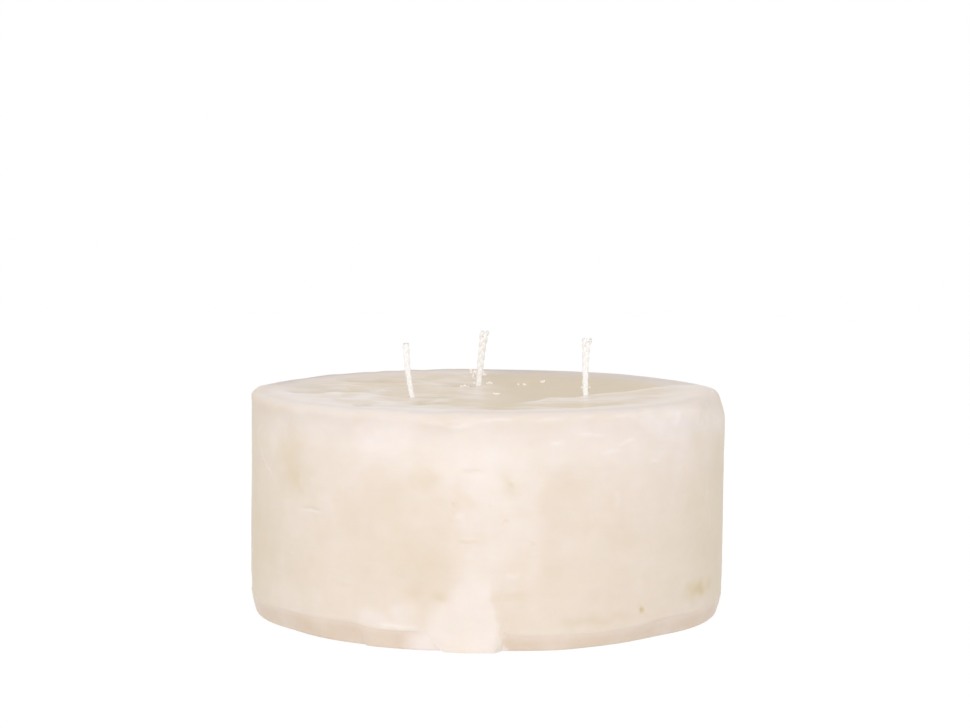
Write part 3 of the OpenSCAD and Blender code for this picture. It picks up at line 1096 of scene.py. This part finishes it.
class CANDLE_OT_wax_body(bpy.types.Operator):
    """Cast pillar with its wrinkled top, slumped rim, marked wall and wax run"""

    bl_idname = "candle.wax_body"
    bl_label = "Wax body"

    def execute(self, context):
        sizes = context.scene.candle_sizes
        share, grid_turns = square_rings(sizes.rings)
        top = on_wall(grid_turns, np.zeros(len(share)), share * (sizes.radius - sizes.rim))
        top_up = top_relief(top, sizes)
        faces, rim = grid_faces(sizes.rings)
        turns = wrapped(grid_turns[rim])
        count = len(turns)
        points = [top + np.outer(sizes.height + top_up, (0, 0, 1))]
        looks = [top_looks(top)]
        rim_looks = {key: values[rim] for key, values in looks[0].items()}
        rows, foot = wall_rows(turns, sizes)
        for radius, height, wall_share in rows:
            radius = radius + wall_relief(turns, height, sizes.radius) * wall_share
            row = on_wall(turns, height, drawn_to_base(turns, radius, height, sizes))
            row[:, 2] += top_up[rim] * (1 - wall_share)
            points.append(row)
            looks.append(wall_looks(turns, height, wall_share, rim_looks, sizes))
        under = underside_rows(turns, foot, sizes)
        points += [on_wall(turns, height, radius) for radius, height in under]
        points = np.concatenate(points + [np.array([[0, 0, base_high.z]])])
        looks.append({key: np.full(len(under) * count + 1, value) for key, value in UNDER_LOOKS.items()})
        looks = {key: np.concatenate([part[key] for part in looks]) for key in UNDER_LOOKS}
        numbers = [rim]
        numbers += [len(top) + k * count + np.arange(count) for k in range(len(rows) + len(under))]
        crown = [(len(points) - 1, n, m) for n, m in zip(np.roll(numbers[-1], -1), numbers[-1])]
        faces = [*faces, *skirt_faces(numbers), *crown]
        piece = new_mesh("cast_pillar", slumped(points, sizes), faces=faces, attributes=looks)
        lower_edge = set(map(int, numbers[len(rows)]))
        sharp = piece.data.attributes.new("sharp_edge", "BOOLEAN", "EDGE")
        sharp.data.foreach_set("value", [lower_edge.issuperset(e.vertices) for e in piece.data.edges])
        piece.data.materials.append(pillar_wax())
        keep(piece, "wax", "wax_body")
        return {"FINISHED"}


def base_profile(sizes):
    """Profile of the base layer from below, each as inset, height and share of roughness."""
    ring_width, bevel_steps, wall_steps = 1 * MM, 4, 24
    profile = [(-sizes.foot_bevel - ring_width, 0.0, 0), (-sizes.foot_bevel, 0.0, 0)]
    for k in range(1, bevel_steps + 1):
        b = math.pi / 2 * k / bevel_steps
        inset = -sizes.foot_bevel * (1 - math.sin(b))
        profile.append((inset, sizes.foot_bevel * (1 - math.cos(b)), 1))
    for k in range(1, wall_steps + 1):
        rise = sizes.foot_bevel + (sizes.base_height - sizes.foot_bevel) * k / wall_steps
        profile.append((0.0, rise, 1))
    return profile


def base_ring(turns, inset, height, rough_share, sizes):
    """One ring of the base layer: its points and its frost."""
    level = np.full(len(turns), height)
    band = on_wall(turns, level, sizes.base_radius)
    over = level - seam_height(turns, sizes)
    stand = 0.16 * MM * rough_at(band, 22 * MM, 61.0, 3) + 0.06 * MM * rough_at(band, 5 * MM, 62.0, 2)
    radius = base_radius(turns, level, sizes) + inset
    radius = radius + stand * rough_share * smooth(-0.3 * MM, -2 * MM, over)
    radius = radius - 1.5 * MM * smooth(0.1 * MM, 0.8 * MM, over)
    ragged = turns + 3 * noise_at(band, 4 * MM, 63.0)
    run = smooth(-21, -13, ragged) * smooth(5, 3.6, ragged)
    under = smooth(-2.4 * MM, 0.2 * MM, over)
    return on_wall(turns, level, radius), np.maximum(0.62 * run, 0.2 * under)


def cut_pocket(piece, side):
    """Cuts the pocket of a sustainer's tab into the underside of a piece."""
    foot = wick_foot(side)
    reach = (tab_high.x - tab_low.x) / 2 + POCKET_GAP
    shape = bmesh.new()
    bmesh.ops.create_cone(
        shape, cap_ends=True, segments=90, radius1=reach, radius2=reach,
        depth=2 * (tab_low.z + TAB_SHEET), matrix=Matrix.Translation((foot.x, foot.y, 0)))
    cutter = from_bmesh("pocket", shape)
    cut = piece.modifiers.new("pocket", "BOOLEAN")
    cut.operation = "DIFFERENCE"
    cut.object = cutter
    settle(piece)
    bpy.data.objects.remove(cutter)


class CANDLE_OT_base_layer(bpy.types.Operator):
    """Second pour: the stepped, tapered foot with the sustainers' pockets in its underside"""

    bl_idname = "candle.base_layer"
    bl_label = "Base layer"

    def execute(self, context):
        sizes = context.scene.candle_sizes
        count, dome_steps = 480, 8
        turns = wrapped(np.arange(count) * 360 / count)
        rings = [base_ring(turns, *step, sizes) for step in base_profile(sizes)]
        points, frost = map(list, zip(*rings))
        # The middle of the underside is plain wax
        frost[0] = np.zeros(count)
        for radius, height in dome_rows(dome_steps, sizes):
            points.append(on_wall(turns, np.full(count, height), radius))
            frost.append(np.zeros(count))
        numbers = [k * count + np.arange(count) for k in range(len(points))]
        points = np.concatenate(points + [np.array([[0, 0, base_high.z], [0, 0, 0]])])
        frost = np.concatenate(frost + [[0.0, 0.0]])
        faces = list(skirt_faces(numbers[::-1]))
        faces += [(len(points) - 2, m, n) for n, m in zip(np.roll(numbers[-1], -1), numbers[-1])]
        faces += [(len(points) - 1, n, m) for n, m in zip(np.roll(numbers[0], -1), numbers[0])]
        piece = new_mesh("second_pour", points, faces=faces, attributes={"frost": frost})
        for side in SIDES:
            cut_pocket(piece, side)
        piece.data.set_sharp_from_angle(angle=math.radians(40))
        piece.data.materials.append(base_wax())
        keep(piece, "base_wax", "base_layer")
        return {"FINISHED"}


def start_tree(name, inputs):
    """A geometry tree with named inputs: the tree, its inputs by name and their values by identifier."""
    tree = bpy.data.node_groups.new(name, "GeometryNodeTree")
    tree.interface.new_socket("Geometry", in_out="INPUT", socket_type="NodeSocketGeometry")
    tree.interface.new_socket("Geometry", in_out="OUTPUT", socket_type="NodeSocketGeometry")
    values = {}
    for key, kind, value in inputs:
        socket = tree.interface.new_socket(key, in_out="INPUT", socket_type=kind)
        values[socket.identifier] = value
    return tree, add(tree, "NodeGroupInput").outputs, values


def end_tree(tree, shape, paint):
    """Ends a geometry tree: real geometry, smooth-shaded, with a material."""
    real = add(tree, "GeometryNodeRealizeInstances", {"Geometry": shape}).outputs[0]
    even = add(tree, "GeometryNodeSetShadeSmooth", {"Geometry": real}).outputs[0]
    done = add(tree, "GeometryNodeSetMaterial", {"Geometry": even, "Material": paint}).outputs[0]
    add(tree, "NodeGroupOutput", {"Geometry": done})


def grow(piece, tree, values):
    """Runs a geometry tree on a piece and leaves a plain mesh."""
    modifier = piece.modifiers.new(tree.name, "NODES")
    modifier.node_group = tree
    for key, value in values.items():
        modifier[key] = value
    settle(piece)


def random_number(tree, low, high, seed):
    """A seeded random number for each element."""
    links = {2: low, 3: high, 8: seed}
    return add(tree, "FunctionNodeRandomValue", links, data_type="FLOAT").outputs[1]


def random_vector(tree, low, high, seed):
    """A seeded random vector for each element."""
    links = {0: low, 1: high, 8: seed}
    return add(tree, "FunctionNodeRandomValue", links, data_type="FLOAT_VECTOR").outputs[0]


def turn_at(tree, height, length, index, count):
    """Angle that makes one turn in a length, started later for each of a count of like strands."""
    turns = sums(tree, "DIVIDE", height, length)
    start = sums(tree, "DIVIDE", index, count)
    return sums(tree, "MULTIPLY", sums(tree, "ADD", turns, start), 2 * math.pi)


def copies(tree, shape, amount, domain, chosen=True):
    """Copies of the chosen elements of a domain: the new geometry and each copy's number."""
    links = {"Geometry": shape, "Selection": chosen, "Amount": amount}
    return add(tree, "GeometryNodeDuplicateElements", links, domain=domain).outputs


def moved(tree, shape, shift):
    """Geometry with its points shifted."""
    return add(tree, "GeometryNodeSetPosition", {"Geometry": shape, "Offset": shift}).outputs[0]


def jitter(tree, place, scale, reach):
    """A small shift that wanders from place to place."""
    links = {"Vector": place, "Scale": scale, "Detail": 1.0}
    wander = add(tree, "ShaderNodeTexNoise", links).outputs["Color"]
    return scaled(tree, vector_sums(tree, "SUBTRACT", wander, (0.5, 0.5, 0.5)), reach)


def tube(tree, line, radius, sides, capped):
    """A tube along each line, with ends that are capped or open."""
    links = {"Resolution": sides, "Radius": radius}
    outline = add(tree, "GeometryNodeCurvePrimitiveCircle", links).outputs[0]
    links = {"Curve": line, "Profile Curve": outline, "Fill Caps": capped}
    return add(tree, "GeometryNodeCurveToMesh", links).outputs[0]


def set_on(tree, points, shape, turn, size):
    """A shape set on each point, turned and scaled."""
    links = {"Points": points, "Instance": shape, "Rotation": turn, "Scale": size}
    return add(tree, "GeometryNodeInstanceOnPoints", links).outputs[0]


def joined(tree, first, second):
    """Two geometries as one."""
    both = add(tree, "GeometryNodeJoinGeometry", {"Geometry": first})
    tree.links.new(second, both.inputs[0])
    return both.outputs[0]


def plait_tree(sizes, paint, girth, wax_top, tip, splay, seed):
    """Three strands plaited along a line, each of twisted yarns, with loose fibres and a frayed end."""
    tree, given, values = start_tree("Plait", (
        ("Across", "NodeSocketFloat", girth * sizes.across),
        ("Through", "NodeSocketFloat", girth * sizes.through),
        ("Pitch", "NodeSocketFloat", sizes.pitch),
        ("Plies", "NodeSocketInt", sizes.plies),
        ("Ply Pitch", "NodeSocketFloat", sizes.ply_pitch),
        ("Ply Radius", "NodeSocketFloat", 0.25 * girth * sizes.strand),
        ("Ply Offset", "NodeSocketFloat", 0.28 * girth * sizes.strand),
        ("Waist", "NodeSocketFloat", 0.72),
        ("Wax Top", "NodeSocketFloat", wax_top),
        ("Tip", "NodeSocketFloat", tip),
        ("Splay", "NodeSocketFloat", splay),
        ("Seed", "NodeSocketInt", seed),
    ))
    place = add(tree, "GeometryNodeInputPosition").outputs[0]
    height = add(tree, "ShaderNodeSeparateXYZ", {0: place}).outputs["Z"]
    shown = ranged(tree, height, given["Wax Top"], given["Tip"])
    waist = ranged(tree, shown, 0.0, 0.8, given["Waist"], 1.0)
    spread = sums(tree, "MULTIPLY", sums(tree, "POWER", shown, 8.0), given["Splay"])

    # Strands that weave from side to side, and to and fro at twice the rate
    line = add(tree, "GeometryNodeMeshToCurve", {"Mesh": given["Geometry"]}).outputs[0]
    strands = copies(tree, line, 3, "SPLINE")
    turn = turn_at(tree, height, given["Pitch"], strands["Duplicate Index"], 3.0)
    across = sums(tree, "ADD", given["Across"], spread)
    across = sums(tree, "MULTIPLY", sums(tree, "SINE", turn, 0.0), across)
    twice = sums(tree, "SINE", sums(tree, "MULTIPLY", turn, 2.0), 0.0)
    through = sums(tree, "ADD", given["Through"], sums(tree, "DIVIDE", spread, 2.0))
    through = sums(tree, "MULTIPLY", twice, through)
    shift = add(tree, "ShaderNodeCombineXYZ", {"X": across, "Y": through}).outputs[0]
    plait = moved(tree, strands["Geometry"], scaled(tree, shift, waist))

    # Yarns that twist about each strand
    plies = copies(tree, plait, given["Plies"], "SPLINE")
    twist = turn_at(tree, height, given["Ply Pitch"], plies["Duplicate Index"], given["Plies"])
    normal = add(tree, "GeometryNodeInputNormal").outputs["Normal"]
    tangent = add(tree, "GeometryNodeInputTangent").outputs[0]
    side = vector_sums(tree, "CROSS_PRODUCT", tangent, normal)
    ring = vector_sums(
        tree, "ADD", scaled(tree, normal, sums(tree, "COSINE", twist, 0.0)),
        scaled(tree, side, sums(tree, "SINE", twist, 0.0)))
    offset = sums(tree, "MULTIPLY", given["Ply Offset"], waist)
    yarns = moved(tree, plies["Geometry"], scaled(tree, ring, offset))
    body = tube(tree, yarns, given["Ply Radius"], 7, True)

    # Fibres that fray from the yarns' ends and stand off the plait over the wax
    fibre = add(tree, "GeometryNodeCurvePrimitiveLine", {"End": (0, 0, MM)}).outputs[0]
    fibre = add(tree, "GeometryNodeResampleCurve", {"Curve": fibre, "Count": 5}).outputs[0]
    ends = add(tree, "GeometryNodeCurveEndpointSelection", {"Start Size": 0, "End Size": 1}).outputs[0]
    tufts = copies(tree, yarns, 8, "POINT", ends)["Geometry"]
    lean = random_vector(tree, (-0.7, -0.7, 0), (0.7, 0.7, 6.28), given["Seed"])
    fray = set_on(tree, tufts, fibre, lean, random_number(tree, 0.2, 0.6, given["Seed"]))
    over_wax = sums(tree, "GREATER_THAN", height, given["Wax Top"])
    skin = add(tree, "GeometryNodeDistributePointsOnFaces", {
        "Mesh": body, "Selection": over_wax, "Density": 0.8 / MM ** 2, "Seed": given["Seed"]}).outputs
    droop = random_vector(tree, (-0.9, -0.9, 0), (0.9, 0.9, 6.28), given["Seed"])
    links = {"Rotation": skin["Rotation"], "Rotate By": droop}
    loose = add(tree, "FunctionNodeRotateRotation", links).outputs[0]
    fuzz = set_on(tree, skin["Points"], fibre, loose, random_number(tree, 0.15, 0.5, given["Seed"]))
    hairs = joined(tree, fray, fuzz)
    hairs = add(tree, "GeometryNodeRealizeInstances", {"Geometry": hairs}).outputs[0]
    hairs = moved(tree, hairs, jitter(tree, place, 1800.0, 0.5 * MM))
    hairs = tube(tree, hairs, 0.018 * MM, 3, False)
    end_tree(tree, joined(tree, body, hairs), paint)
    return tree, values


def wax_level(foot, sizes):
    """Height of the wax round a wick's foot, before its wrinkles."""
    share = min(1.0, math.hypot(foot.x, foot.y) / (sizes.radius - sizes.land))
    return sizes.height - sizes.dish * (1 - share ** 2)


class CANDLE_OT_wicks(bpy.types.Operator):
    """Three plaited cotton wicks, each of twisted yarns with a frayed end"""

    bl_idname = "candle.wicks"
    bl_label = "Wicks"

    def execute(self, context):
        sizes = context.scene.candle_wicks
        paint = wick_cotton()
        steps = 260
        for number, side in enumerate(SIDES):
            foot = wick_foot(side)
            low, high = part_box("wick_" + side)
            start, end = low.z + WICK_INSET, high.z - WICK_FRAY
            wax_top = wax_level(foot, context.scene.candle_sizes)
            bend, tip, lean, splay = (value * MM for value in WICK_COURSES[side])
            points = []
            for k in range(steps + 1):
                z = start + (end - start) * k / steps
                u = max(0.0, (z - wax_top) / (end - wax_top))
                sideways = (4 * bend - tip) * u + (2 * tip - 4 * bend) * u * u
                points.append((foot.x + sideways, foot.y + lean * u * u, z))
            piece = new_mesh("plait_" + side, points, edges=[(k, k + 1) for k in range(steps)])
            tree, values = plait_tree(sizes, paint, WICK_GIRTHS[side], wax_top, end, splay, number + 1)
            grow(piece, tree, values)
            keep(piece, "wick_cotton", "wick_" + side)
        return {"FINISHED"}


def crumb_tree(wax, paint):
    """Crumbs scattered over a wax surface close to given points, and one on each point that is held."""
    tree, given, values = start_tree("Crumbs", (
        ("Wax", "NodeSocketObject", wax),
        ("Reach", "NodeSocketFloat", 2.4 * MM),
        ("Density", "NodeSocketFloat", 0.6 / MM ** 2),
        ("Seed", "NodeSocketInt", 5),
    ))
    ground = add(tree, "GeometryNodeObjectInfo", {"Object": given["Wax"]}).outputs["Geometry"]
    place = add(tree, "GeometryNodeInputPosition").outputs[0]
    links = {"Geometry": given["Geometry"], "Sample Position": place}
    gap = add(tree, "GeometryNodeProximity", links, target_element="POINTS").outputs["Distance"]
    near = ranged(tree, gap, 0.0, given["Reach"], given["Density"], 0.0)
    links = {"Mesh": ground, "Density": near, "Seed": given["Seed"]}
    spots = add(tree, "GeometryNodeDistributePointsOnFaces", links).outputs["Points"]
    lump = add(tree, "GeometryNodeMeshIcoSphere", {"Radius": 0.62 * MM, "Subdivisions": 3}).outputs[0]
    turn = random_vector(tree, (0, 0, 0), (6.28, 6.28, 6.28), given["Seed"])
    size = random_vector(tree, (0.5, 0.5, 0.4), (1.3, 1.1, 0.8), given["Seed"])
    held = add(tree, "GeometryNodeInputNamedAttribute", {"Name": "held"}).outputs[0]
    links = {"Mesh": given["Geometry"], "Selection": held}
    held = add(tree, "GeometryNodeMeshToPoints", links).outputs[0]
    crumbs = joined(
        tree, set_on(tree, spots, lump, turn, size), set_on(tree, held, lump, turn, size))
    crumbs = add(tree, "GeometryNodeRealizeInstances", {"Geometry": crumbs}).outputs[0]
    end_tree(tree, moved(tree, crumbs, jitter(tree, place, 900.0, 0.45 * MM)), paint)
    return tree, values


class CANDLE_OT_crumbs(bpy.types.Operator):
    """Loose crumbs of wax on the top, mostly by the wicks"""

    bl_idname = "candle.crumbs"
    bl_label = "Crumbs"

    def execute(self, context):
        sizes = context.scene.candle_sizes
        places = [(x * MM, y * MM, sizes.height - sizes.dish) for x, y in CRUMB_PLACES]
        places += [tuple(value * MM for value in place) for place in HELD_CRUMBS]
        held = [0.0] * len(CRUMB_PLACES) + [1.0] * len(HELD_CRUMBS)
        piece = new_mesh("wax_crumbs", places, attributes={"held": held})
        tree, values = crumb_tree(bpy.data.objects["cast_pillar"], crumb_wax())
        grow(piece, tree, values)
        keep(piece, "wax")
        return {"FINISHED"}


class CANDLE_OT_sustainers(bpy.types.Operator):
    """Tinplate finish of the three sustainers under the candle"""

    bl_idname = "candle.sustainers"
    bl_label = "Sustainers"

    def execute(self, context):
        for side in SIDES:
            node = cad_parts["sustainer_" + side]
            node.data.materials.clear()
            node.data.materials.append(tinplate(side))
        return {"FINISHED"}


class CANDLE_OT_stage(bpy.types.Operator):
    """Pale floor, soft light and the camera"""

    bl_idname = "candle.stage"
    bl_label = "Stage"

    def execute(self, context):
        scene = context.scene
        look = scene.candle_stage
        disc = bmesh.new()
        bmesh.ops.create_circle(disc, cap_ends=True, segments=96, radius=FLOOR_RADIUS)
        floor = from_bmesh("floor", disc)
        floor.location.z = -FLOOR_GAP
        floor.data.materials.append(self.floor_paint())
        self.light_surround(scene, look)
        self.add_key(scene, look)
        self.add_camera(scene, look)
        return {"FINISHED"}

    def floor_paint(self):
        """Pale, evenly lit floor that fades into the surround and is clear from below."""
        made, tree, shader, where = material("floor_paint")
        plug(tree, shader, {
            "Base Color": (0.9, 0.9, 0.9, 1), "Roughness": 0.9, "Specular IOR Level": 0.0})
        seen = add(tree, "ShaderNodeLightPath").outputs["Is Camera Ray"]
        strength = ranged(tree, seen, 0.0, 1.0, 0.84, 1.06)
        even = add(tree, "ShaderNodeEmission", {"Color": (1, 1, 1, 1), "Strength": strength}).outputs[0]
        lit = add(tree, "ShaderNodeMixShader", {0: 0.15, 1: even, 2: shader.outputs[0]}).outputs[0]
        away = add(tree, "ShaderNodeVectorMath", {0: where}, operation="LENGTH").outputs["Value"]
        below = add(tree, "ShaderNodeNewGeometry").outputs["Backfacing"]
        fade = sums(tree, "MAXIMUM", ranged(tree, away, 0.4, 1.6), below)
        clear = add(tree, "ShaderNodeBsdfTransparent").outputs[0]
        both = add(tree, "ShaderNodeMixShader", {0: fade, 1: lit, 2: clear}).outputs[0]
        plug(tree, tree.nodes["Material Output"], {"Surface": both})
        return made

    def light_surround(self, scene, look):
        """Light from all round, weaker and warmer from straight behind, that the camera sees as white."""
        world = bpy.data.worlds.new("surround")
        world.use_nodes = True
        scene.world = world
        tree = world.node_tree
        tree.nodes.clear()
        way = add(tree, "ShaderNodeTexCoord").outputs["Generated"]
        back = add(tree, "ShaderNodeSeparateXYZ", {0: way}).outputs["Y"]
        level = ranged(tree, back, 0.7, 1.0, look.surround, look.backdrop)
        tint = ranged(tree, back, 0.7, 1.0)
        tint = blended(tree, tint, (1.0, 0.99, 0.98, 1), (1.0, 0.92, 0.81, 1))
        lit = add(tree, "ShaderNodeBackground", {"Color": tint, "Strength": level}).outputs[0]
        seen = add(tree, "ShaderNodeBackground", {"Color": (1, 1, 1, 1), "Strength": 1.0}).outputs[0]
        path = add(tree, "ShaderNodeLightPath").outputs["Is Camera Ray"]
        both = add(tree, "ShaderNodeMixShader", {0: path, 1: lit, 2: seen}).outputs[0]
        add(tree, "ShaderNodeOutputWorld", {"Surface": both})

    def add_key(self, scene, look):
        """One large soft light over the camera that faces the candle."""
        lamp = bpy.data.lights.new("key", "AREA")
        lamp.size = KEY_SIZE
        lamp.energy = look.key
        made = bpy.data.objects.new("key", lamp)
        made.location = KEY_PLACE
        made.rotation_euler = (Vector(KEY_AIM) - Vector(KEY_PLACE)).to_track_quat("-Z", "Y").to_euler()
        scene.collection.objects.link(made)

    def add_camera(self, scene, look):
        """The camera at the photograph's view."""
        lens = bpy.data.cameras.new("camera")
        lens.lens = look.lens
        lens.sensor_width = 36.0
        lens.clip_start, lens.clip_end = 0.05, 50.0
        camera = bpy.data.objects.new("camera", lens)
        place = Matrix.Translation((look.offset, -look.distance, look.camera_height))
        turn = Matrix.Rotation(math.pi / 2 - look.pitch, 4, "X") @ Matrix.Rotation(look.roll, 4, "Z")
        camera.matrix_world = place @ turn
        scene.collection.objects.link(camera)
        scene.camera = camera
        scene.view_settings.view_transform = "Standard"


class CANDLE_PT_panel(bpy.types.Panel):
    """Lists the candle's pieces in the sidebar"""

    bl_idname = "CANDLE_PT_panel"
    bl_label = "Candle"
    bl_space_type = "VIEW_3D"
    bl_region_type = "UI"
    bl_category = "Candle"

    def draw(self, context):
        for operator in OPERATORS:
            self.layout.operator(operator.bl_idname)


GROUPS = {
    "candle_sizes": CandleSizes,
    "candle_wax": WaxLook,
    "candle_wicks": WickSizes,
    "candle_stage": StageLook,
}
OPERATORS = (
    CANDLE_OT_stage, CANDLE_OT_wax_body, CANDLE_OT_base_layer, CANDLE_OT_wicks, CANDLE_OT_crumbs,
    CANDLE_OT_sustainers,
)


def register():
    """Registers the property groups, operators and panel."""
    for group in GROUPS.values():
        bpy.utils.register_class(group)
    for name, group in GROUPS.items():
        setattr(bpy.types.Scene, name, PointerProperty(type=group))
    for operator in OPERATORS:
        bpy.utils.register_class(operator)
    bpy.utils.register_class(CANDLE_PT_panel)


def unregister():
    """Removes the panel, operators and property groups."""
    bpy.utils.unregister_class(CANDLE_PT_panel)
    for operator in reversed(OPERATORS):
        bpy.utils.unregister_class(operator)
    for name in GROUPS:
        delattr(bpy.types.Scene, name)
    for group in reversed(GROUPS.values()):
        bpy.utils.unregister_class(group)


def main():
    """Builds the candle piece by piece."""
    register()
    bpy.ops.candle.stage()
    bpy.ops.candle.wax_body()
    bpy.ops.candle.base_layer()
    bpy.ops.candle.wicks()
    bpy.ops.candle.crumbs()
    bpy.ops.candle.sustainers()


if __name__ == "__main__":
    main()
